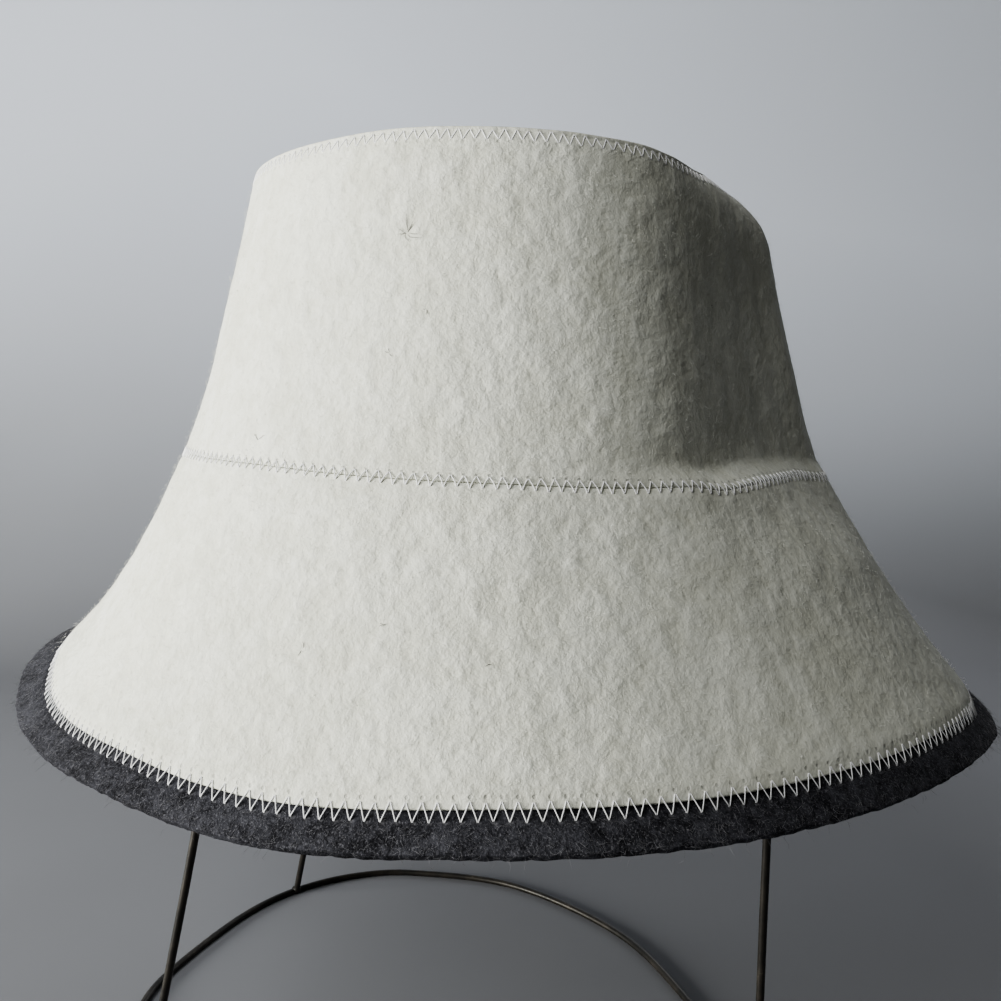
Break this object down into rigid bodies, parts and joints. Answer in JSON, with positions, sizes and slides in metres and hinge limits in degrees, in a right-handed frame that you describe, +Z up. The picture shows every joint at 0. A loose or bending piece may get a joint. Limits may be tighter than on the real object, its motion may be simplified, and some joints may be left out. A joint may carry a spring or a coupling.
{
  "type": "sauna hat on a wire stand",
  "caption": "Sauna hat of thick felt with a tapered, flat-topped crown and a wide sloping brim with a dark edge, resting on a plain wire stand with a base ring and legs.",
  "frame": {"origin": "on the table, under the middle of the brim", "axes": "+Z up, +Y away from the front, +X to the right as seen from the front"},
  "size_m": [0.2951, 0.2896, 0.2735],
  "materials": {
    "white_felt": "thick wool felt, matt, with short loose fibres",
    "grey_felt": "thick charcoal wool felt with lighter hairs",
    "dark_wire": "dark, lightly worn coating on steel wire"
  },
  "bodies": {
    "root": {"crown_top": "white_felt", "crown_wall": "white_felt", "brim": "white_felt", "edge_band": "grey_felt", "wire_stand": "dark_wire"}
  },
  "joints": []
}
